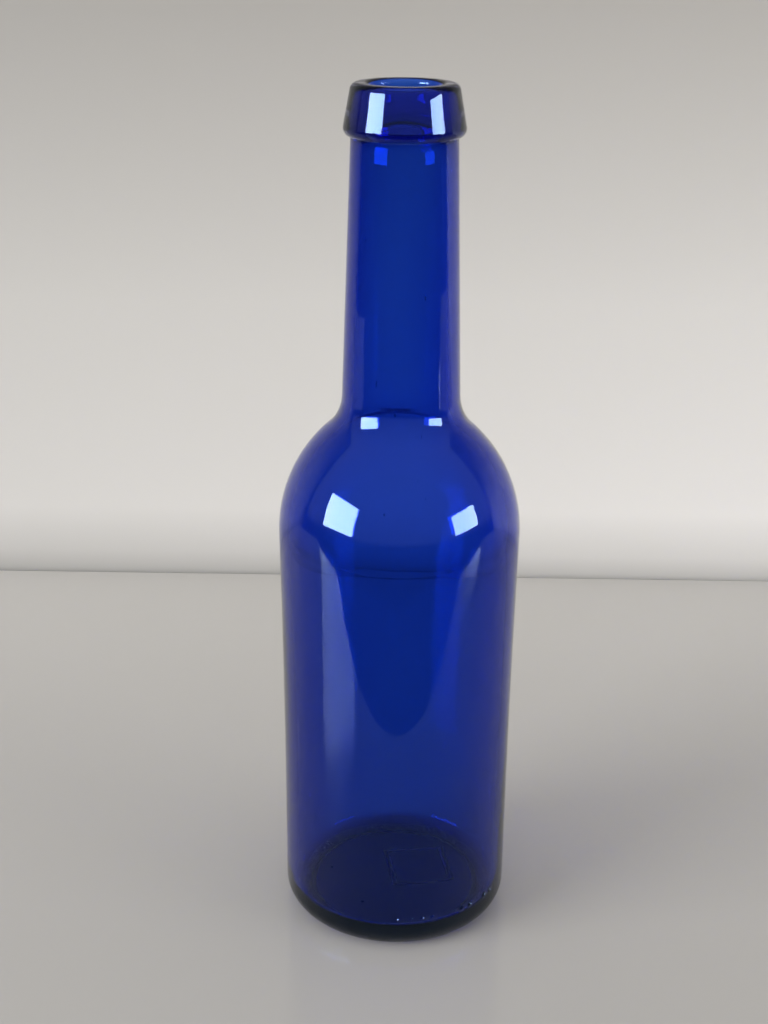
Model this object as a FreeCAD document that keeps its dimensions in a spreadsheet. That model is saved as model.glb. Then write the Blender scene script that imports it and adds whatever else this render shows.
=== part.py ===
"""Antique cork-mouth bottle in cobalt blue glass: the blown bottle and the collar laid on its neck.

Frame: millimetres, +Z up along the bottle's axis. The origin is the centre of the ring it stands on,
and the front of the bottle faces -Y.
"""
import FreeCAD
import Part

import math
import os

import Sketcher
from FreeCAD import Vector

# The driving dimensions, in millimetres and degrees. Heights are measured from the bearing ring.
DIMENSIONS = {
    "body_radius": 32.5,         # widest point, where the shoulder begins
    "side_radius": 31.7,         # the straight side above the heel
    "heel_round": 6.7,
    "swell_start": 30.0,         # height where the side begins to swell towards the shoulder
    "shoulder_height": 114.6,    # height of the widest point, and of the dome's centre
    "dome_round": 38.6,
    "neck_fillet": 12.5,
    "neck_foot_radius": 15.54,   # the neck's straight taper, carried down to neck_foot_height
    "neck_foot_height": 151.0,
    "neck_top_radius": 13.43,    # where the collar's underside meets the neck
    "neck_top_height": 219.0,
    "total_height": 231.4,
    "neck_join_height": 154.0,   # just above the end of the shoulder's fillet, inside and out
    "neck_end_radius": 11.4,     # the sheared end of the neck, drawn in under the collar
    "wall": 3.0,
    "floor_height": 7.2,
    "inner_heel_round": 1.5,
    "inner_foot_radius": 12.45,  # hollow of the neck, carried down to neck_foot_height
    "throat_radius": 10.6,       # top of the neck's hollow, where it narrows to the mouth's bore
    "throat_height": 216.0,
    "bore_radius": 9.25,         # standard cork mouth
    "bore_length": 9.0,
    "mouth_round": 1.2,
    "recess_radius": 24.4,       # rim of the shallow hollow under the base, inside the bearing ring
    "recess_flat_radius": 23.2,
    "recess_depth": 1.5,
    "panel_width": 18.0,         # plain raised frame on the underside
    "panel_depth": 18.5,
    "panel_ridge": 1.2,
    "panel_rise": 0.7,
    "panel_across": 7.0,         # the frame's centre, off the bottle's axis
    "panel_back": 5.6,
    "panel_turn": 10.0,
    "dot_radius": 0.8,           # mould dots round the foot of the side
    "dot_rise": 0.45,
    "dot_height": 10.5,
    "dot_pitch": 5.6,            # angle from one dot to the next
    "dot_first": 3.0,            # angle of the first dot from the front
    "collar_rim_radius": 13.65,  # top of the collar's taper, where the rim's rounding starts
    "collar_rim_round": 1.9,
    "collar_radius": 15.3,       # widest point of the collar, near its lower edge
    "collar_wide_height": 220.6,
    "collar_round": 2.2,
}
# Mould dots stand in groups: the first place in the row, and the number of dots.
DOT_GROUPS = {"long_row": (0, 4), "middle_pair": (6, 2), "far_pair": (9, 2)}

doc = FreeCAD.newDocument("antique_bottle")


def make_sheet():
    """Put the driving dimensions in a spreadsheet, one named cell each."""
    sheet = doc.addObject("Spreadsheet::Sheet", "sizes")
    for row, (name, value) in enumerate(DIMENSIONS.items(), start=1):
        sheet.set(f"A{row}", name)
        sheet.set(f"B{row}", str(value))
        sheet.setAlias(f"B{row}", name)
    doc.recompute()
    return sheet


def origin_plane(body, role):
    """Find one of a body's own origin planes by its role."""
    return next(item for item in body.Origin.OriginFeatures if item.Role == role)


def new_body(label):
    body = doc.addObject("PartDesign::Body", label)
    body.Label = label
    return body


def new_sketch(body, name, role="XZ_Plane"):
    """Attach a sketch to one of the body's own planes. On XZ, x is the radius and y the height."""
    sketch = body.newObject("Sketcher::SketchObject", name)
    sketch.AttachmentSupport = [(origin_plane(body, role), "")]
    sketch.MapMode = "FlatFace"
    return sketch


class Outline:
    """A chain of lines and arcs in a sketch, with its points and sizes tied to the sheet."""

    def __init__(self, sketch):
        self.sketch = sketch

    def line(self, start, end):
        segment = Part.LineSegment(Vector(*start, 0), Vector(*end, 0))
        return self.sketch.addGeometry(segment, False)

    def arc(self, centre, radius, first, last):
        """Arc from the first to the last angle, in degrees anticlockwise."""
        circle = Part.Circle(Vector(*centre, 0), Vector(0, 0, 1), radius)
        piece = Part.ArcOfCircle(circle, math.radians(first), math.radians(last))
        return self.sketch.addGeometry(piece, False)

    def join(self, geo_a, end_a, geo_b, end_b, smooth=False):
        """Join two ends, as a tangent joint when smooth."""
        kind = "Tangent" if smooth else "Coincident"
        self.sketch.addConstraint(Sketcher.Constraint(kind, geo_a, end_a, geo_b, end_b))

    def level(self, geo):
        self.sketch.addConstraint(Sketcher.Constraint("Horizontal", geo))

    def upright(self, geo):
        self.sketch.addConstraint(Sketcher.Constraint("Vertical", geo))

    def on_axis(self, geo, end):
        self.sketch.addConstraint(Sketcher.Constraint("PointOnObject", geo, end, -2))

    def bind(self, kind, value, expression, *where):
        """Add a dimension, and tie it to an expression on the sheet."""
        index = self.sketch.addConstraint(Sketcher.Constraint(kind, *where, value))
        self.sketch.setExpression(f"Constraints[{index}]", expression)

    def across(self, geo, end, value, expression):
        self.bind("DistanceX", value, expression, -1, 1, geo, end)

    def height(self, geo, end, value, expression):
        self.bind("DistanceY", value, expression, -1, 1, geo, end)

    def radius(self, geo, value, expression):
        self.bind("Radius", value, expression, geo)

    def tilt(self, geo, degrees, expression):
        """Lean a line, drawn upwards, towards the axis by an angle from the upright."""
        self.bind("Angle", math.radians(90 + degrees), f"90 deg + {expression}", geo)

    def above_centre(self, geo):
        """Keep an arc's first end straight above its centre."""
        self.sketch.addConstraint(Sketcher.Constraint("Vertical", geo, 1, geo, 3))


def polar(centre, radius, degrees):
    """Point on a circle."""
    turn = math.radians(degrees)
    return (centre[0] + radius * math.cos(turn), centre[1] + radius * math.sin(turn))


def shoulder_layout(inset, foot, top):
    """Work out the start values of the swell, the dome, the fillet and the neck.

    inset is how far the outline lies inside the outer one. foot and top are two points of the
    neck's straight taper. Returns each arc's centre, radius and angles, in degrees.
    """
    size = DIMENSIONS
    gain = size["body_radius"] - size["side_radius"]
    rise = size["shoulder_height"] - size["swell_start"]
    # The swell's circle and the dome's touch where the line of their centres crosses both.
    swell_outer = (rise ** 2 + gain ** 2 - 2 * gain * size["dome_round"]) / (2 * gain)
    dome_radius = size["dome_round"] - inset
    swell_radius = swell_outer + inset
    dome = (size["body_radius"] - size["dome_round"], size["shoulder_height"])
    swell = (size["side_radius"] + swell_outer, size["swell_start"])
    lean = math.degrees(math.atan2(dome[1] - swell[1], swell[0] - dome[0]))
    # The fillet touches the taper's line and the dome from outside.
    fillet_radius = size["neck_fillet"] + inset
    taper = math.atan2(foot[0] - top[0], top[1] - foot[1])
    outward = (math.cos(taper), math.sin(taper))
    along = (-outward[1], outward[0])
    base = (top[0] + fillet_radius * outward[0] - dome[0], top[1] + fillet_radius * outward[1] - dome[1])
    half = base[0] * along[0] + base[1] * along[1]
    reach = (dome_radius + fillet_radius) ** 2 - base[0] ** 2 - base[1] ** 2
    slide = -half + math.sqrt(half ** 2 + reach)
    fillet = (dome[0] + base[0] + slide * along[0], dome[1] + base[1] + slide * along[1])
    meet = math.degrees(math.atan2(fillet[1] - dome[1], fillet[0] - dome[0]))
    return {
        "swell": (swell, swell_radius, 180 - lean, 180),
        "dome": (dome, dome_radius, -lean, meet),
        "fillet": (fillet, fillet_radius, 180 + math.degrees(taper), 180 + meet),
        "taper": math.degrees(taper),
    }


def draw_shoulder(outline, side, layout, inset):
    """Draw swell, dome and fillet above the side line. Returns the fillet's number."""
    swell = outline.arc(*layout["swell"])
    dome = outline.arc(*layout["dome"])
    fillet = outline.arc(*layout["fillet"])
    outline.join(side, 2, swell, 2, smooth=True)
    outline.join(swell, 1, dome, 1, smooth=True)
    outline.join(dome, 2, fillet, 2, smooth=True)
    outline.across(dome, 3, layout["dome"][0][0], "sizes.body_radius - sizes.dome_round")
    outline.height(dome, 3, layout["dome"][0][1], "sizes.shoulder_height")
    outline.radius(dome, layout["dome"][1], f"sizes.dome_round - {inset}")
    outline.radius(fillet, layout["fillet"][1], f"sizes.neck_fillet + {inset}")
    outline.height(side, 2, DIMENSIONS["swell_start"], "sizes.swell_start")
    return fillet


def revolve(body, kind, name, sketch):
    """Turn a sketch once round the vertical axis, as a Revolution or a Groove."""
    feature = body.newObject(f"PartDesign::{kind}", name)
    feature.Profile = sketch
    feature.ReferenceAxis = (sketch, ["V_Axis"])
    feature.Angle = 360
    sketch.Visibility = False
    doc.recompute()
    return feature


def outer_form(body):
    """The bottle's outside, solid: heel, side, swell, dome, fillet, neck and its drawn-in end."""
    size = DIMENSIONS
    outline = Outline(new_sketch(body, "outer_outline"))
    heel_centre = (size["side_radius"] - size["heel_round"], size["heel_round"])
    foot = (size["neck_foot_radius"], size["neck_foot_height"])
    top = (size["neck_top_radius"], size["neck_top_height"])
    rim = (size["neck_end_radius"], size["total_height"])
    layout = shoulder_layout(0.0, foot, top)

    base = outline.line((0, 0), (heel_centre[0], 0))
    heel = outline.arc(heel_centre, size["heel_round"], -90, 0)
    side_radius = size["side_radius"]
    side = outline.line((side_radius, size["heel_round"]), (side_radius, size["swell_start"]))
    fillet = draw_shoulder(outline, side, layout, "0")
    neck = outline.line(polar(*layout["fillet"][:3]), top)
    drawn_in = outline.line(top, rim)
    land = outline.line(rim, (0, size["total_height"]))
    axis = outline.line((0, size["total_height"]), (0, 0))

    outline.join(base, 1, -1, 1)
    outline.level(base)
    outline.join(base, 2, heel, 1, smooth=True)
    outline.join(heel, 2, side, 1, smooth=True)
    outline.radius(heel, size["heel_round"], "sizes.heel_round")
    outline.upright(side)
    outline.across(side, 2, size["side_radius"], "sizes.side_radius")
    outline.join(fillet, 1, neck, 1, smooth=True)
    outline.across(neck, 2, top[0], "sizes.neck_top_radius")
    outline.height(neck, 2, top[1], "sizes.neck_top_height")
    outline.tilt(neck, layout["taper"],
                 "atan((sizes.neck_foot_radius - sizes.neck_top_radius)"
                 " / (sizes.neck_top_height - sizes.neck_foot_height))")
    outline.join(neck, 2, drawn_in, 1)
    outline.join(drawn_in, 2, land, 1)
    outline.level(land)
    outline.across(drawn_in, 2, rim[0], "sizes.neck_end_radius")
    outline.height(drawn_in, 2, rim[1], "sizes.total_height")
    outline.join(land, 2, axis, 1)
    outline.join(axis, 2, base, 1)
    outline.on_axis(land, 2)
    return revolve(body, "Revolution", "outer_form", outline.sketch)


def inside(body):
    """The hollow, cut from the mouth down to the floor, one wall's thickness inside the outline."""
    size = DIMENSIONS
    outline = Outline(new_sketch(body, "inner_outline"))
    side_radius = size["side_radius"] - size["wall"]
    heel_centre = (side_radius - size["inner_heel_round"], size["floor_height"] + size["inner_heel_round"])
    bore_top = size["total_height"] - size["mouth_round"]
    bore_foot = bore_top - size["bore_length"]
    foot = (size["inner_foot_radius"], size["neck_foot_height"])
    top = (size["throat_radius"], size["throat_height"])
    mouth_centre = (size["bore_radius"] + size["mouth_round"], bore_top)
    above = size["total_height"] + 1.0
    layout = shoulder_layout(size["wall"], foot, top)

    floor = outline.line((0, size["floor_height"]), (heel_centre[0], size["floor_height"]))
    heel = outline.arc(heel_centre, size["inner_heel_round"], -90, 0)
    side = outline.line((side_radius, heel_centre[1]), (side_radius, size["swell_start"]))
    fillet = draw_shoulder(outline, side, layout, "sizes.wall")
    neck = outline.line(polar(*layout["fillet"][:3]), top)
    throat = outline.line(top, (size["bore_radius"], bore_foot))
    bore = outline.line((size["bore_radius"], bore_foot), (size["bore_radius"], bore_top))
    mouth = outline.arc(mouth_centre, size["mouth_round"], 90, 180)
    rise = outline.line((mouth_centre[0], size["total_height"]), (mouth_centre[0], above))
    cover = outline.line((mouth_centre[0], above), (0, above))
    axis = outline.line((0, above), (0, size["floor_height"]))

    outline.on_axis(floor, 1)
    outline.level(floor)
    outline.height(floor, 1, size["floor_height"], "sizes.floor_height")
    outline.join(floor, 2, heel, 1, smooth=True)
    outline.join(heel, 2, side, 1, smooth=True)
    outline.radius(heel, size["inner_heel_round"], "sizes.inner_heel_round")
    outline.upright(side)
    outline.across(side, 2, side_radius, "sizes.side_radius - sizes.wall")
    outline.join(fillet, 1, neck, 1, smooth=True)
    outline.tilt(neck, layout["taper"],
                 "atan((sizes.inner_foot_radius - sizes.throat_radius)"
                 " / (sizes.throat_height - sizes.neck_foot_height))")
    outline.across(neck, 2, top[0], "sizes.throat_radius")
    outline.height(neck, 2, top[1], "sizes.throat_height")
    outline.join(neck, 2, throat, 1)
    outline.across(throat, 2, size["bore_radius"], "sizes.bore_radius")
    outline.height(throat, 2, bore_foot, "sizes.total_height - sizes.mouth_round - sizes.bore_length")
    outline.join(throat, 2, bore, 1)
    outline.upright(bore)
    outline.join(bore, 2, mouth, 2, smooth=True)
    outline.radius(mouth, size["mouth_round"], "sizes.mouth_round")
    outline.height(mouth, 1, size["total_height"], "sizes.total_height")
    outline.join(mouth, 1, rise, 1)
    outline.above_centre(mouth)
    outline.upright(rise)
    outline.height(rise, 2, above, "sizes.total_height + 1")
    outline.join(rise, 2, cover, 1)
    outline.level(cover)
    outline.on_axis(cover, 2)
    outline.join(cover, 2, axis, 1)
    outline.join(axis, 2, floor, 1)
    return revolve(body, "Groove", "inside", outline.sketch)


def base_recess(body):
    """The shallow hollow under the base, which leaves the bearing ring to stand on."""
    size = DIMENSIONS
    outline = Outline(new_sketch(body, "recess_outline"))
    rim = (size["recess_radius"], 0)
    flat = (size["recess_flat_radius"], size["recess_depth"])
    edges = [
        outline.line((0, 0), rim),
        outline.line(rim, flat),
        outline.line(flat, (0, size["recess_depth"])),
        outline.line((0, size["recess_depth"]), (0, 0)),
    ]
    for place, edge in enumerate(edges):
        outline.join(edge, 2, edges[(place + 1) % len(edges)], 1)
    outline.join(edges[0], 1, -1, 1)
    outline.level(edges[0])
    outline.level(edges[2])
    outline.on_axis(edges[2], 2)
    outline.across(edges[1], 1, rim[0], "sizes.recess_radius")
    outline.across(edges[1], 2, flat[0], "sizes.recess_flat_radius")
    outline.height(edges[1], 2, flat[1], "sizes.recess_depth")
    return revolve(body, "Groove", "base_recess", outline.sketch)


def panel_frame(body):
    """A plain rectangular ridge, moulded off-centre on the underside, with nothing inside it."""
    size = DIMENSIONS
    sketch = new_sketch(body, "panel_outline", "XY_Plane")
    for axis, expression in {
        "Base.x": "sizes.panel_across",
        "Base.y": "sizes.panel_back",
        "Base.z": "sizes.recess_depth - sizes.panel_rise",
    }.items():
        sketch.setExpression(f"AttachmentOffset.{axis}", expression)
    sketch.setExpression("AttachmentOffset.Rotation.Angle", "sizes.panel_turn")
    outline = Outline(sketch)
    for inset in ("0", "sizes.panel_ridge"):
        margin = 0.0 if inset == "0" else size["panel_ridge"]
        right = size["panel_width"] / 2 - margin
        back = size["panel_depth"] / 2 - margin
        corners = [(-right, -back), (right, -back), (right, back), (-right, back)]
        edges = [outline.line(corners[i], corners[(i + 1) % 4]) for i in range(4)]
        for place, edge in enumerate(edges):
            outline.join(edge, 2, edges[(place + 1) % 4], 1)
            if place % 2:
                outline.upright(edge)
            else:
                outline.level(edge)
        outline.across(edges[1], 1, right, f"sizes.panel_width / 2 - {inset}")
        outline.height(edges[1], 2, back, f"sizes.panel_depth / 2 - {inset}")
        outline.bind("DistanceX", 2 * right, f"sizes.panel_width - 2 * {inset}", edges[0], 1, edges[0], 2)
        outline.bind("DistanceY", 2 * back, f"sizes.panel_depth - 2 * {inset}", edges[1], 1, edges[1], 2)
    pad = body.newObject("PartDesign::Pad", "panel_frame")
    pad.Profile = sketch
    pad.setExpression("Length", "sizes.panel_rise + 1")
    sketch.Visibility = False
    doc.recompute()
    return pad


def mould_dots(body, group, first, count):
    """A group of small round dots on the foot of the side, each a ball sunk in the glass."""
    ball = body.newObject("PartDesign::AdditiveSphere", f"{group}_dot")
    ball.AttachmentSupport = [(origin_plane(body, "XY_Plane"), "")]
    ball.MapMode = "FlatFace"
    ball.setExpression("Radius", "sizes.dot_radius")
    reach = "(sizes.side_radius + sizes.dot_rise - sizes.dot_radius)"
    turn = f"(sizes.dot_first + {first} * sizes.dot_pitch)"
    ball.setExpression("AttachmentOffset.Base.x", f"{reach} * sin({turn} * 1 deg)")
    ball.setExpression("AttachmentOffset.Base.y", f"-{reach} * cos({turn} * 1 deg)")
    ball.setExpression("AttachmentOffset.Base.z", "sizes.dot_height")
    doc.recompute()
    row = body.newObject("PartDesign::PolarPattern", group)
    row.Originals = [ball]
    row.Axis = (origin_plane(body, "Z_Axis"), [""])
    row.setExpression("Angle", f"{count - 1} * sizes.dot_pitch * 1 deg")
    row.Occurrences = count
    body.Tip = row
    doc.recompute()
    return row


def trim(body, name, low, high):
    """Cut away everything between two heights, each a value and the expression that gives it."""
    reach = DIMENSIONS["body_radius"] + 5
    outline = Outline(new_sketch(body, f"{name}_outline"))
    edges = [
        outline.line((0, low[0]), (reach, low[0])),
        outline.line((reach, low[0]), (reach, high[0])),
        outline.line((reach, high[0]), (0, high[0])),
        outline.line((0, high[0]), (0, low[0])),
    ]
    for place, edge in enumerate(edges):
        outline.join(edge, 2, edges[(place + 1) % len(edges)], 1)
    outline.on_axis(edges[0], 1)
    outline.level(edges[0])
    outline.upright(edges[1])
    outline.level(edges[2])
    outline.on_axis(edges[2], 2)
    outline.across(edges[1], 1, reach, "sizes.body_radius + 5")
    outline.height(edges[0], 1, *low)
    outline.height(edges[2], 2, *high)
    return revolve(body, "Groove", name, outline.sketch)


def bottle():
    """The blown bottle below its neck: base, heel, side, swell, dome and fillet."""
    join = (DIMENSIONS["neck_join_height"], "sizes.neck_join_height")
    body = new_body("bottle_body")
    outer_form(body)
    inside(body)
    trim(body, "neck_left_off", join, (DIMENSIONS["total_height"] + 2, "sizes.total_height + 2"))
    base_recess(body)
    panel_frame(body)
    for group, (first, count) in DOT_GROUPS.items():
        mould_dots(body, group, first, count)
    return body


def neck():
    """The neck, blown with the body from the same gather, so the wall runs through unbroken."""
    join = (DIMENSIONS["neck_join_height"], "sizes.neck_join_height")
    body = new_body("bottle_neck")
    outer_form(body)
    inside(body)
    trim(body, "body_left_off", (-2, "-2"), join)
    return body


def collar():
    """The collar, a second gather laid round the drawn-in end of the neck and tooled to a taper."""
    size = DIMENSIONS
    body = new_body("applied_collar")
    outline = Outline(new_sketch(body, "collar_outline"))
    neck_top = (size["neck_top_radius"], size["neck_top_height"])
    neck_end = (size["neck_end_radius"], size["total_height"])
    rim_centre = (size["collar_rim_radius"] - size["collar_rim_round"],
                  size["total_height"] - size["collar_rim_round"])
    low_centre = (size["collar_radius"] - size["collar_round"], size["collar_wide_height"])
    # The taper touches both roundings on the outside.
    span = (rim_centre[0] - low_centre[0], rim_centre[1] - low_centre[1])
    spread = size["collar_round"] - size["collar_rim_round"]
    lean = math.degrees(math.atan2(-span[0], span[1]) + math.asin(spread / math.hypot(*span)))
    underside = -math.degrees(math.acos((neck_top[0] - low_centre[0]) / size["collar_round"]))

    bond = outline.line(neck_top, neck_end)
    land = outline.line(neck_end, (rim_centre[0], size["total_height"]))
    rim = outline.arc(rim_centre, size["collar_rim_round"], lean, 90)
    taper = outline.line(polar(rim_centre, size["collar_rim_round"], lean),
                         polar(low_centre, size["collar_round"], lean))
    low = outline.arc(low_centre, size["collar_round"], underside, lean)
    foot = outline.line(polar(low_centre, size["collar_round"], underside), neck_top)

    outline.join(bond, 2, land, 1)
    outline.join(land, 2, rim, 2, smooth=True)
    outline.join(rim, 1, taper, 1, smooth=True)
    outline.join(taper, 2, low, 2, smooth=True)
    outline.join(low, 1, foot, 1)
    outline.join(foot, 2, bond, 1)
    outline.level(land)
    outline.upright(foot)
    outline.across(bond, 1, neck_top[0], "sizes.neck_top_radius")
    outline.height(bond, 1, neck_top[1], "sizes.neck_top_height")
    outline.across(bond, 2, neck_end[0], "sizes.neck_end_radius")
    outline.height(bond, 2, neck_end[1], "sizes.total_height")
    outline.radius(rim, size["collar_rim_round"], "sizes.collar_rim_round")
    outline.radius(low, size["collar_round"], "sizes.collar_round")
    outline.across(rim, 3, rim_centre[0], "sizes.collar_rim_radius - sizes.collar_rim_round")
    outline.across(low, 3, low_centre[0], "sizes.collar_radius - sizes.collar_round")
    outline.height(low, 3, low_centre[1], "sizes.collar_wide_height")
    revolve(body, "Revolution", "collar_form", outline.sketch)
    return body


def check_document():
    """Stop if any object of the document failed, or a sketch is not fully defined."""
    for item in doc.Objects:
        if "Invalid" in item.State or "Error" in item.State:
            raise RuntimeError(f"{item.Name} failed: {item.State}")
        if item.TypeId == "Sketcher::SketchObject" and item.solve() != 0:
            raise RuntimeError(f"{item.Name} is not solved")


def write_parts(bodies):
    """Write each sub-part's solid to its own file."""
    os.makedirs("parts", exist_ok=True)
    for body in bodies:
        shape = body.Shape
        if shape.isNull() or not shape.isValid() or len(shape.Solids) != 1:
            raise RuntimeError(f"{body.Label} is not one valid solid")
        shape.exportStep(f"parts/{body.Label}.step")
        box = shape.optimalBoundingBox(False, False)
        print(f"{body.Label}: {shape.Volume / 1000:.2f} cm3, z {box.ZMin:.2f} to {box.ZMax:.2f} mm,"
              f" x {box.XMin:.2f} to {box.XMax:.2f} mm")


make_sheet()
PARTS = [bottle(), neck(), collar()]
doc.recompute()
check_document()
write_parts(PARTS)
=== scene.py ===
"""An antique cork-mouth bottle in cobalt blue glass, on a glossy pale table before a plain wall.

Everything is in metres in the model's frame: +Z up the bottle's axis, its front facing -Y.
"""
import math

import bpy
import numpy as np
from mathutils import Matrix, Vector


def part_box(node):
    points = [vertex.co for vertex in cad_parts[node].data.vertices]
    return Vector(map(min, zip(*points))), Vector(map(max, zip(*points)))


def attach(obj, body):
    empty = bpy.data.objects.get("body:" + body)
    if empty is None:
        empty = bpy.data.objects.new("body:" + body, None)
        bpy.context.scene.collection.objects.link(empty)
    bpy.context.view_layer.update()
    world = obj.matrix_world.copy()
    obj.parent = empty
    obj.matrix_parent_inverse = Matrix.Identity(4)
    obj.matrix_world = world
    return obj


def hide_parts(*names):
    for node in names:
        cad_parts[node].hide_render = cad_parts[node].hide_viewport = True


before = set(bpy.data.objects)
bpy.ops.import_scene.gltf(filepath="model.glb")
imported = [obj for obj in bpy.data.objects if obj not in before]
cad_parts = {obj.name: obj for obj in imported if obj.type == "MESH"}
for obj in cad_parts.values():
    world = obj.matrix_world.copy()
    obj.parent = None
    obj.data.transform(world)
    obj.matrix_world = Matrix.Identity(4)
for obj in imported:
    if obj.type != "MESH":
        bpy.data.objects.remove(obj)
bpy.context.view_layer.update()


# ---------------------------------------------------------------------------------------------
# The bottle's outside. It was blown in a mould: a ring to stand on round a shallow recess, a
# round heel, a straight side that swells to a domed shoulder, and a long, slightly tapered neck.
# ---------------------------------------------------------------------------------------------
MM = 0.001
body_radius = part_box("bottle_body")[1].x
rim_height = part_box("bottle_neck")[1].z
side_swell = 0.8 * MM                        # how much wider the shoulder is than the side
side_radius = body_radius - side_swell
heel_round = 6.7 * MM
recess_depth = 1.5 * MM
recess_radius = 24.4 * MM
recess_flat = 23.2 * MM
swell_start = 30 * MM
shoulder_height = 114.6 * MM
dome_round = 38.6 * MM
neck_fillet = 12.5 * MM
neck_foot = np.array([15.54, 151.0]) * MM     # radius and height of two points on the taper
neck_top = np.array([13.43, 219.0]) * MM
dot_height = 10.5 * MM
dot_radius = 0.8 * MM
dot_rise = 0.45 * MM


def straight(start, end, count):
    """Points shared out evenly on the line from start to end."""
    share = np.linspace(0.0, 1.0, count)[:, None]
    return np.asarray(start) * (1 - share) + np.asarray(end) * share


def arc(centre, radius, first, last, count):
    """Points on a circle: centre + radius * (cos, sin) of evenly spaced angles, in radians."""
    turn = np.linspace(first, last, count)
    return np.stack([centre[0] + radius * np.cos(turn), centre[1] + radius * np.sin(turn)], axis=1)


def joined(runs):
    """One outline from runs that meet end to end, each shared point kept once."""
    return np.concatenate([runs[0]] + [run[1:] for run in runs[1:]])


def shoulder(inset, foot, top, rows):
    """The swell, the dome and the fillet of an outline that lies inset inside the outer one.

    The swell is a wide circle that leaves the side upright and touches the dome's circle. The
    fillet's circle touches the dome's from outside, and the straight line from foot to top.
    """
    gain = body_radius - side_radius
    rise = shoulder_height - swell_start
    swell_round = (rise ** 2 + gain ** 2 - 2 * gain * dome_round) / (2 * gain)
    swell_centre = np.array([side_radius + swell_round, swell_start])
    dome_centre = np.array([body_radius - dome_round, shoulder_height])
    lean = math.atan2(rise, swell_centre[0] - dome_centre[0])
    taper = math.atan2(foot[0] - top[0], top[1] - foot[1])
    outward = np.array([math.cos(taper), math.sin(taper)])
    along = np.array([-outward[1], outward[0]])
    base = top + (neck_fillet + inset) * outward - dome_centre
    reach = dome_round + neck_fillet
    slide = -base @ along + math.sqrt((base @ along) ** 2 + reach ** 2 - base @ base)
    fillet_centre = dome_centre + base + slide * along
    meet = math.atan2(fillet_centre[1] - dome_centre[1], fillet_centre[0] - dome_centre[0])
    return joined([
        arc(swell_centre, swell_round + inset, math.pi, math.pi - lean, rows[0]),
        arc(dome_centre, dome_round - inset, -lean, meet, rows[1]),
        arc(fillet_centre, neck_fillet + inset, math.pi + meet, math.pi + taper, rows[2]),
    ])


heel_centre = np.array([side_radius - heel_round, heel_round])
dot_margin = 1.1 * MM                        # close rows reach this far above and below the dots
dot_low, dot_high = dot_height - dot_margin, dot_height + dot_margin
outer_shoulder = shoulder(0.0, neck_foot, neck_top, (18, 32, 13))
below_collar = neck_top + (neck_foot - neck_top) * 0.02    # close rows keep the corner here sharp
recess_rows = 62                             # points from the axis to the edge of the flat
underside = joined([
    straight((0, recess_depth), (recess_flat, recess_depth), recess_rows),
    straight((recess_flat, recess_depth), (recess_radius, 0), 4),
    straight((recess_radius, 0), (heel_centre[0], 0), 3),
])
outside = joined([
    arc(heel_centre, heel_round, -math.pi / 2, 0, 12),
    straight((side_radius, heel_round), (side_radius, dot_low), 3),
    straight((side_radius, dot_low), (side_radius, dot_high), 13),
    straight((side_radius, dot_high), (side_radius, swell_start), 6),
    outer_shoulder,
    straight(outer_shoulder[-1], below_collar, 17),
    straight(below_collar, neck_top, 5),
])


# ---------------------------------------------------------------------------------------------
# The collar: a second gather of glass laid round the end of the neck and tooled to a taper that
# is widest near its lower edge. Hot glass on hot glass leaves no seam, only a groove beneath.
# ---------------------------------------------------------------------------------------------
collar_round = 2.2 * MM
collar_centre = np.array([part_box("applied_collar")[1].x - collar_round, 220.6 * MM])
rim_round = 1.9 * MM
rim_centre = np.array([13.65 * MM - rim_round, rim_height - rim_round])
collar_span = rim_centre - collar_centre
collar_lean = (math.atan2(-collar_span[0], collar_span[1])
               + math.asin((collar_round - rim_round) / math.hypot(*collar_span)))
collar_under = -math.acos((neck_top[0] - collar_centre[0]) / collar_round)
low_edge = arc(collar_centre, collar_round, collar_under, collar_lean, 11)
rim_edge = arc(rim_centre, rim_round, collar_lean, math.pi / 2, 11)
collar = joined([
    straight(neck_top, low_edge[0], 3),
    low_edge,
    straight(low_edge[-1], rim_edge[0], 7),
    rim_edge,
])


# ---------------------------------------------------------------------------------------------
# The hollow, left by the air blown in. It follows the outside one wall further in, down to a
# thick floor, and a plug pushed into the soft mouth drew it in to the short bore a cork fits.
# ---------------------------------------------------------------------------------------------
wall = 3.0 * MM
floor_height = 7.2 * MM
inner_heel = 1.5 * MM
mouth_round = 1.2 * MM
inner_foot = np.array([12.45, 151.0]) * MM
throat = np.array([10.6, 216.0]) * MM
bore_top = np.array([9.25 * MM, rim_height - mouth_round])
bore_foot = bore_top - (0, 9 * MM)
inner_side = side_radius - wall
inner_heel_centre = np.array([inner_side - inner_heel, floor_height + inner_heel])
inner_shoulder = shoulder(wall, inner_foot, throat, (18, 30, 11))
hollow = joined([
    straight((0, floor_height), (inner_heel_centre[0], floor_height), 20),
    arc(inner_heel_centre, inner_heel, -math.pi / 2, 0, 10),
    straight((inner_side, inner_heel_centre[1]), (inner_side, swell_start), 6),
    inner_shoulder,
    straight(inner_shoulder[-1], throat, 15),
    straight(throat, bore_foot, 4),
    straight(bore_foot, bore_top, 4),
    arc(bore_top + (mouth_round, 0), mouth_round, math.pi, math.pi / 2, 6),
])[::-1]


# ---------------------------------------------------------------------------------------------
# The glass as one skin. The dots round the heel and the blank panel under the base were cut into
# the mould. The inner wall, shaped by air alone, is a little wavy and a little off centre.
# ---------------------------------------------------------------------------------------------
columns = 296
dot_places = np.radians(3.0 + 5.6 * np.array([0, 1, 2, 3, 6, 7, 9, 10]))
panel_middle = np.array([7.0, 5.6]) * MM
panel_half = np.array([8.4, 8.65]) * MM       # to the middle of the ridge
panel_turn = math.radians(10)
panel_rise = 0.7 * MM
wave_height = 0.11 * MM
drift = 0.12 * MM


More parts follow.
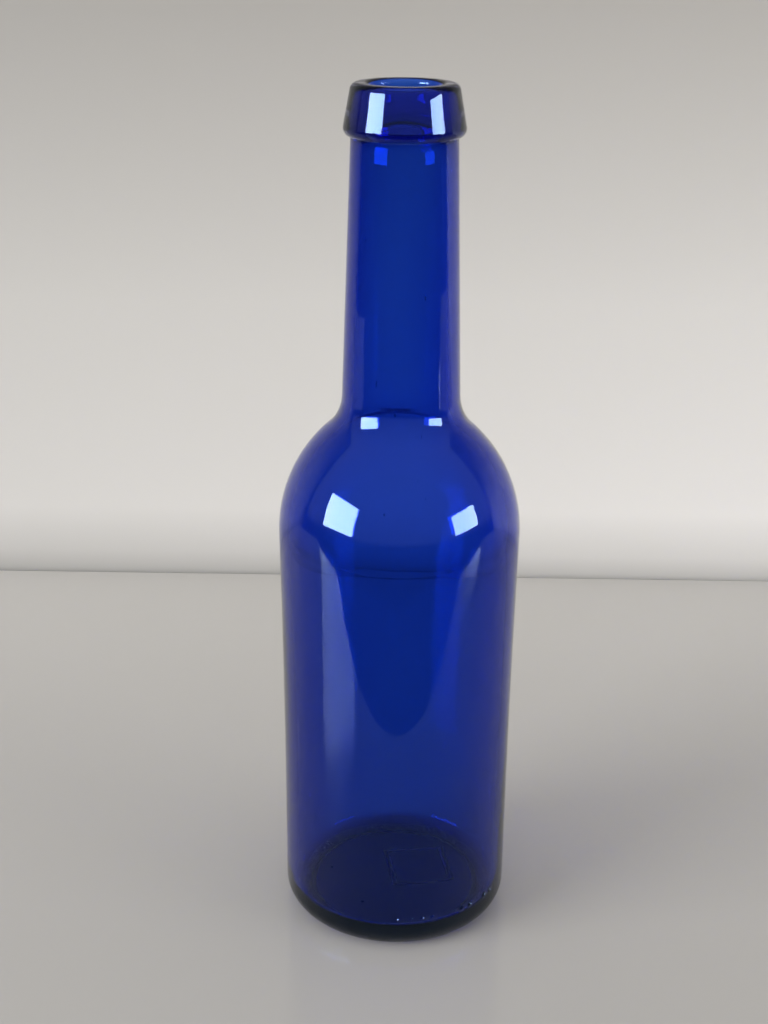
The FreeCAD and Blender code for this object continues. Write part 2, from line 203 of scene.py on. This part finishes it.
def soft_step(x):
    """0 below 0 and 1 above 1, with 3x^2 - 2x^3 between them."""
    x = np.clip(x, 0.0, 1.0)
    return x * x * (3 - 2 * x)


def column_turns():
    """Angles round the axis from the front towards +X, crowded where the dots are.

    The crowding is 1 plus a bell of height 5 at each dot, and each column takes an equal share of
    its running total round the full turn.
    """
    fine = np.linspace(0.0, 2 * math.pi, 7201)
    crowding = 1 + 5 * np.exp(-((fine[:, None] - dot_places) / 0.03) ** 2).sum(axis=1)
    total = np.concatenate([[0.0], np.cumsum((crowding[1:] + crowding[:-1]) / 2)])
    return np.interp(np.arange(columns) / columns, total / total[-1], fine)


def dot_relief(turn, height):
    """How far the moulded dots stand out: a ball's cap of the dot's radius and rise at each."""
    ball = (dot_radius ** 2 + dot_rise ** 2) / (2 * dot_rise)
    sideways = side_radius * (turn[..., None] - dot_places)
    away = sideways ** 2 + (height[..., None] - dot_height) ** 2
    return (np.sqrt(np.maximum(ball ** 2 - away, 0)) - (ball - dot_rise)).clip(0).max(axis=-1)


def panel_relief(x, y):
    """How far the panel's ridge stands out: a soft bank along the outline of a turned rectangle."""
    cos, sin = math.cos(panel_turn), math.sin(panel_turn)
    across = (x - panel_middle[0]) * cos + (y - panel_middle[1]) * sin
    back = (y - panel_middle[1]) * cos - (x - panel_middle[0]) * sin
    out_x, out_y = abs(across) - panel_half[0], abs(back) - panel_half[1]
    beyond = np.hypot(np.maximum(out_x, 0), np.maximum(out_y, 0)) + np.minimum(np.maximum(out_x, out_y), 0)
    return panel_rise * soft_step((0.95 * MM - abs(beyond)) / (0.7 * MM))


def blown_waves(turn, height):
    """Slow waves in the inner wall: five sines round and up the bottle, each a whole number round."""
    waves = (np.sin(2 * turn + height / 0.021) + 0.8 * np.sin(3 * turn - height / 0.017 + 1.3)
             + 0.6 * np.sin(5 * turn + height / 0.012 + 0.4) + 0.5 * np.sin(height / 0.0078 + 2.1)
             + 0.4 * np.sin(9 * turn - height / 0.033 + 4.0))
    return wave_height * waves / 3.3


def bottle_rings():
    """The skin as (rows, columns, 3) points, from the recess, up the outside and down the hollow.

    The outline turns about the axis. Dots push the side outwards and the panel pushes the recess
    down. The hollow's radius takes the waves, and its centre line drifts slowly with height.
    """
    outer = joined([underside, outside, collar, straight(collar[-1], hollow[0], 3)])
    outline = joined([outer, hollow])[1:-1]
    turn = column_turns()[None, :]
    radius, height = outline[:, :1] + 0 * turn, outline[:, 1:] + 0 * turn
    row = np.arange(len(outline))[:, None]
    on_recess = row < recess_rows - 1
    on_side = (row > recess_rows - 1) & (row < len(underside) + len(outside))
    in_hollow = row >= len(outer)
    away = soft_step((height - 5 * MM) / (15 * MM)) * soft_step((rim_height - 4 * MM - height) / (20 * MM))
    radius = radius + on_side * dot_relief(turn + 0 * height, height)
    radius = radius + in_hollow * away * blown_waves(turn, height)
    x, y = radius * np.sin(turn), -radius * np.cos(turn)
    height = height - on_recess * panel_relief(x, y)
    x = x + in_hollow * away * drift * np.sin(height / 0.035 + 0.6)
    y = y + in_hollow * away * drift * np.cos(height / 0.047 + 2.0)
    return np.stack([x, y, height], axis=2), outline[0, 1], outline[-1, 1]


def closed_skin(rings, start, end):
    """Points and faces of rings closed by a fan on a pole at each end. rings is (rows, columns, 3)."""
    rows, around = rings.shape[:2]
    points = np.concatenate([rings.reshape(-1, 3), [start, end]])
    here = np.arange(rows * around).reshape(rows, around)
    beside = np.roll(here, -1, axis=1)
    quads = np.stack([here[:-1], beside[:-1], beside[1:], here[1:]], axis=2).reshape(-1, 4)
    first = np.stack([0 * here[0] + rows * around, beside[0], here[0]], axis=1)
    last = np.stack([here[-1], beside[-1], 0 * here[-1] + rows * around + 1], axis=1)
    return points, quads.tolist() + first.tolist() + last.tolist()


rings, recess_top, floor_top = bottle_rings()
points, faces = closed_skin(rings, (0, 0, recess_top), (0, 0, floor_top))


# ---------------------------------------------------------------------------------------------
# Seeds: small air bubbles caught in the glass when it was gathered. They are round in the thick
# floor and drawn out along the axis in the wall and neck. Each is a void in the same skin.
# ---------------------------------------------------------------------------------------------
draw = np.random.default_rng(31)
floor_seeds = np.array([[-19, 2, 3.1], [-9, -15, 3.4], [22, 6, 2.9],
                        [-12, -4.5, 3.2], [3, -9, 2.6], [15, 15, 3.3]]) * MM
floor_sizes = np.array([0.42, 0.5, 0.36, 0.28, 0.24, 0.3])[:, None] * [1, 1, 0.7] * MM
wall_count = 18
seed_turns = draw.uniform(0, 2 * math.pi, wall_count)
seed_heights = draw.uniform(16 * MM, 212 * MM, wall_count)
seed_widths = draw.uniform(0.10, 0.24, wall_count) * MM
outer_line = joined([outside, collar])
seed_cover = draw.uniform(1.1, 1.9, wall_count) * MM
seed_depths = np.interp(seed_heights, outer_line[:, 1], outer_line[:, 0]) - seed_cover
stretch = 1.5 + 3 * soft_step((seed_heights - 120 * MM) / (40 * MM))
wall_seeds = np.stack([seed_depths * np.sin(seed_turns), -seed_depths * np.cos(seed_turns),
                       seed_heights], axis=1)
wall_sizes = np.stack([seed_widths, seed_widths, seed_widths * stretch], axis=1)


def bubble(centre, size):
    """An egg of radii size, its rows from the top pole down so that its faces point into the void."""
    down = np.linspace(0, math.pi, 8)[1:-1, None]
    around = np.linspace(0, 2 * math.pi, 10, endpoint=False)[None, :]
    ball = np.stack([np.sin(down) * np.sin(around), -np.sin(down) * np.cos(around),
                     np.cos(down) + 0 * around], axis=2)
    return closed_skin(centre + ball * size, centre + [0, 0, size[2]], centre - [0, 0, size[2]])


seeds = np.concatenate([floor_seeds, wall_seeds])
seed_sizes = np.concatenate([floor_sizes, wall_sizes])
for centre, size in zip(seeds, seed_sizes):
    more_points, more_faces = bubble(centre, size)
    faces += [[corner + len(points) for corner in face] for face in more_faces]
    points = np.concatenate([points, more_points])

skin = bpy.data.meshes.new("cobalt_bottle")
skin.from_pydata(points.tolist(), [], faces)
skin.shade_smooth()
bottle = bpy.data.objects.new("cobalt_bottle", skin)
bpy.context.scene.collection.objects.link(bottle)


# ---------------------------------------------------------------------------------------------
# The glass itself: clear and deep blue all through, from cobalt in the melt. Its surface is fire
# polished but faintly uneven, streaked along the drawn neck, and scuffed where it stands.
# ---------------------------------------------------------------------------------------------
class Strand:
    """A socket's value in a sum. + - * and / with a number or another strand add a Math node."""

    def __init__(self, recipe, socket):
        self.recipe, self.socket = recipe, socket

    def reckon(self, operation, first, second):
        return self.recipe.node("Math", {"operation": operation}, {0: first, 1: second})

    def __add__(self, other):
        return self.reckon("ADD", self, other)

    def __sub__(self, other):
        return self.reckon("SUBTRACT", self, other)

    def __rsub__(self, other):
        return self.reckon("SUBTRACT", other, self)

    def __mul__(self, other):
        return self.reckon("MULTIPLY", self, other)

    def __truediv__(self, other):
        return self.reckon("DIVIDE", self, other)

    __radd__, __rmul__ = __add__, __mul__


class Recipe:
    """The nodes of one material, or of the world, and the two ways they are put together."""

    def __init__(self, owner):
        owner.use_nodes = True
        self.tree = owner.node_tree
        self.tree.nodes.clear()

    def node(self, kind, settings=None, sockets=None, result=0):
        """A new node's result: settings first (a ramp's as its stops), then values or links."""
        node = self.tree.nodes.new("ShaderNode" + kind)
        for name, value in (settings or {}).items():
            if name == "stops":
                ramp = node.color_ramp.elements
                while len(ramp) < len(value):
                    ramp.new(1.0)
                for element, (position, colour) in zip(ramp, value):
                    element.position, element.color = position, (*colour, 1.0)
            else:
                setattr(node, name, value)
        for name, value in (sockets or {}).items():
            if isinstance(value, Strand):
                self.tree.links.new(value.socket, node.inputs[name])
            else:
                node.inputs[name].default_value = value
        return Strand(self, node.outputs[result]) if node.outputs else None

    def rise(self, value, low, high):
        """0 where value is below low, 1 above high, and a soft step between."""
        limits = {"Value": value, "From Min": low, "From Max": high}
        return self.node("MapRange", {"interpolation_type": "SMOOTHSTEP"}, limits)

    def noise(self, place, scale, detail=2.0):
        return self.node("TexNoise", {}, {"Vector": place, "Scale": scale, "Detail": detail})


cobalt = bpy.data.materials.new("cobalt_glass")
mix = Recipe(cobalt)
place = mix.node("TexCoord", result="Object")
height = mix.node("SeparateXYZ", {}, {"Vector": place}, "Z")
upright = mix.node("VectorMath", {"operation": "MULTIPLY"}, {0: place, 1: (1.0, 1.0, 0.06)})
on_neck = mix.rise(height, 0.135, 0.160)
at_foot = 1 - mix.rise(height, 0.0004, 0.0022)
ripple = mix.noise(place, 62.0, 1.0)
streaks = mix.noise(upright, 420.0, 1.0) * (0.10 + 0.25 * on_neck)
uneven = mix.node("Bump", {}, {"Strength": 1.0, "Distance": 0.00006, "Height": ripple + streaks})
scuffs = mix.rise(mix.noise(place, 2600.0, 4.0), 0.45, 0.62) * at_foot
film = mix.rise(mix.noise(place, 38.0, 3.0), 0.5, 0.8)
shader = mix.node("BsdfPrincipled", {}, {
    "Base Color": (1.0, 1.0, 1.0, 1.0),
    "Roughness": 0.006 + 0.02 * film + 0.30 * scuffs,
    "IOR": 1.5,
    "Specular Tint": (0.38, 0.6, 1.0, 1.0),
    "Transmission Weight": 1.0,
    "Normal": uneven,
})
tint = mix.node("VolumeAbsorption", {}, {"Color": (0.0, 0.39, 0.872, 1.0), "Density": 850.0})
mix.node("OutputMaterial", {}, {"Surface": shader, "Volume": tint})
skin.materials.append(cobalt)

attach(bottle, "root")
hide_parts("bottle_body", "bottle_neck", "applied_collar")


# ---------------------------------------------------------------------------------------------
# The table: a glossy, pale lacquered top that mirrors the bottle faintly and ends just short of
# the wall. It is only what the bottle stands on.
# ---------------------------------------------------------------------------------------------
wall_place = 0.229


def stage_piece(name, corners, faces):
    """A flat-sided thing that isn't part of the bottle. Each face's corners run anticlockwise."""
    mesh = bpy.data.meshes.new(name)
    mesh.from_pydata([tuple(corner) for corner in corners], [], faces)
    thing = bpy.data.objects.new(name, mesh)
    bpy.context.scene.collection.objects.link(thing)
    return thing


table_low = np.array([-0.85, -0.148, -0.028])
table_high = np.array([0.95, wall_place - 0.0012, 0.0])
box_corners = table_low + (table_high - table_low) * [[0, 0, 0], [1, 0, 0], [1, 1, 0], [0, 1, 0],
                                                      [0, 0, 1], [1, 0, 1], [1, 1, 1], [0, 1, 1]]
table = stage_piece("table_top", box_corners, [(3, 2, 1, 0), (4, 5, 6, 7), (0, 1, 5, 4),
                                               (1, 2, 6, 5), (2, 3, 7, 6), (3, 0, 4, 7)])
lacquer = bpy.data.materials.new("pale_lacquer")
mix = Recipe(lacquer)
shader = mix.node("BsdfPrincipled", {}, {
    "Base Color": (0.56, 0.545, 0.52, 1.0),
    "Roughness": 0.10,
    "IOR": 1.5,
})
mix.node("OutputMaterial", {}, {"Surface": shader})
table.data.materials.append(lacquer)


# ---------------------------------------------------------------------------------------------
# The wall behind: plaster, with painted shade in its colour along the table and again higher up,
# and painted light making it lighter to the right. Its back is left clear, so that the bottle can
# be looked at from behind as well.
# ---------------------------------------------------------------------------------------------
backdrop = stage_piece("back_wall", [(-1.6, wall_place, -0.4), (1.6, wall_place, -0.4),
                                     (1.6, wall_place, 1.1), (-1.6, wall_place, 1.1)], [(0, 1, 2, 3)])
plaster = bpy.data.materials.new("plaster")
mix = Recipe(plaster)
place = mix.node("TexCoord", result="Object")
height = mix.node("SeparateXYZ", {}, {"Vector": place}, "Z")
across = mix.node("SeparateXYZ", {}, {"Vector": place}, "X")
# Painted light: the wall's colour is made lighter towards +X, to the right.
painted_light_rightward = 1.0 + 0.9 * across
# Painted shade: the colour is darkest just above the table, lightest a little higher, and darkens again up
# the wall.
painted_shade_stops = [(0.0, (0.45, 0.44, 0.42)), (0.02, (0.62, 0.605, 0.58)), (0.06, (0.78, 0.76, 0.73)),
          (0.24, (0.72, 0.70, 0.665)), (0.48, (0.48, 0.46, 0.43)), (1.0, (0.12, 0.115, 0.105))]
wall_tone_with_painted_shade = mix.node("ValToRGB", {"stops": painted_shade_stops}, {"Fac": height / 0.5})
wall_colour_with_painted_light = mix.node("VectorMath", {"operation": "SCALE"}, {0: wall_tone_with_painted_shade, "Scale": painted_light_rightward})
shader = mix.node("BsdfPrincipled", {}, {"Base Color": wall_colour_with_painted_light, "Roughness": 0.7})
behind = mix.node("NewGeometry", result="Backfacing")
clear = mix.node("BsdfTransparent")
mix.node("OutputMaterial", {}, {"Surface": mix.node("MixShader", {}, {0: behind, 1: shader, 2: clear})})
backdrop.data.materials.append(plaster)


# ---------------------------------------------------------------------------------------------
# The light: a dim plain room, lighter towards the ceiling, and two windows at the front sides,
# the left one wider and brighter.
# ---------------------------------------------------------------------------------------------
room = bpy.data.worlds.new("room")
bpy.context.scene.world = room
mix = Recipe(room)
direction = mix.node("TexCoord", result="Generated")
up = mix.node("SeparateXYZ", {}, {"Vector": direction}, "Z")
shade = mix.node("ValToRGB", {"stops": [(0.0, (0.04, 0.04, 0.04)), (0.49, (0.05, 0.05, 0.05)),
                                        (0.53, (0.30, 0.295, 0.29)), (1.0, (0.46, 0.455, 0.45))]},
                 {"Fac": up * 0.5 + 0.5})
light = mix.node("Background", {}, {"Color": shade, "Strength": 1.55})
mix.node("OutputWorld", {}, {"Surface": light})


def window(name, azimuth, elevation, width, height, glare, glow):
    """A window pane 1.6 m from the bottle, facing it. azimuth runs from the front towards +X.

    It is two lamps in one place: the glare is the radiance seen in the glass, and the glow is
    what lights matt surfaces. The glow is set lower than a real pane's would be.
    """
    turn, tilt = math.radians(azimuth), math.radians(elevation)
    towards = Vector((math.sin(turn) * math.cos(tilt), -math.cos(turn) * math.cos(tilt), math.sin(tilt)))
    for part, radiance in (("glare", glare), ("glow", glow)):
        pane = bpy.data.lights.new(f"{name}_{part}", "AREA")
        pane.shape, pane.size, pane.size_y = "RECTANGLE", width, height
        pane.energy = radiance * math.pi * width * height
        lamp = bpy.data.objects.new(f"{name}_{part}", pane)
        lamp.matrix_world = (Matrix.Translation(Vector((0, 0, 0.12)) + 1.6 * towards)
                             @ towards.to_track_quat("Z", "Y").to_matrix().to_4x4())
        lamp.visible_camera = False
        lamp.visible_diffuse = part == "glow"
        lamp.visible_glossy = lamp.visible_transmission = part == "glare"
        bpy.context.scene.collection.objects.link(lamp)


window("left_window", -60, 14, 0.95, 0.62, 30.0, 10.5)
window("right_window", 66, 10, 0.75, 0.40, 24.0, 5.5)


# ---------------------------------------------------------------------------------------------
# The view: from in front and above, tilted down at the bottle.
# ---------------------------------------------------------------------------------------------
dip, heading, roll = math.radians(21.414), math.radians(-0.617), math.radians(0.569)
ahead = Vector((math.sin(heading) * math.cos(dip), math.cos(heading) * math.cos(dip), -math.sin(dip)))
level = ahead.cross((0, 0, 1)).normalized()
over = level.cross(ahead)
side = level * math.cos(roll) + over * math.sin(roll)
top = over * math.cos(roll) - level * math.sin(roll)
camera = bpy.data.objects.new("camera", bpy.data.cameras.new("camera"))
camera.data.lens = 54.44
camera.data.clip_start = 0.01
camera.matrix_world = (Matrix.Translation((0, -0.38833, 0.27146))
                       @ Matrix((side, top, -ahead)).transposed().to_4x4())
bpy.context.scene.collection.objects.link(camera)
bpy.context.scene.camera = camera

scene = bpy.context.scene
scene.view_settings.view_transform = "Standard"
scene.cycles.use_denoising = True
scene.cycles.max_bounces = 24
scene.cycles.transmission_bounces = 20
scene.cycles.glossy_bounces = 8
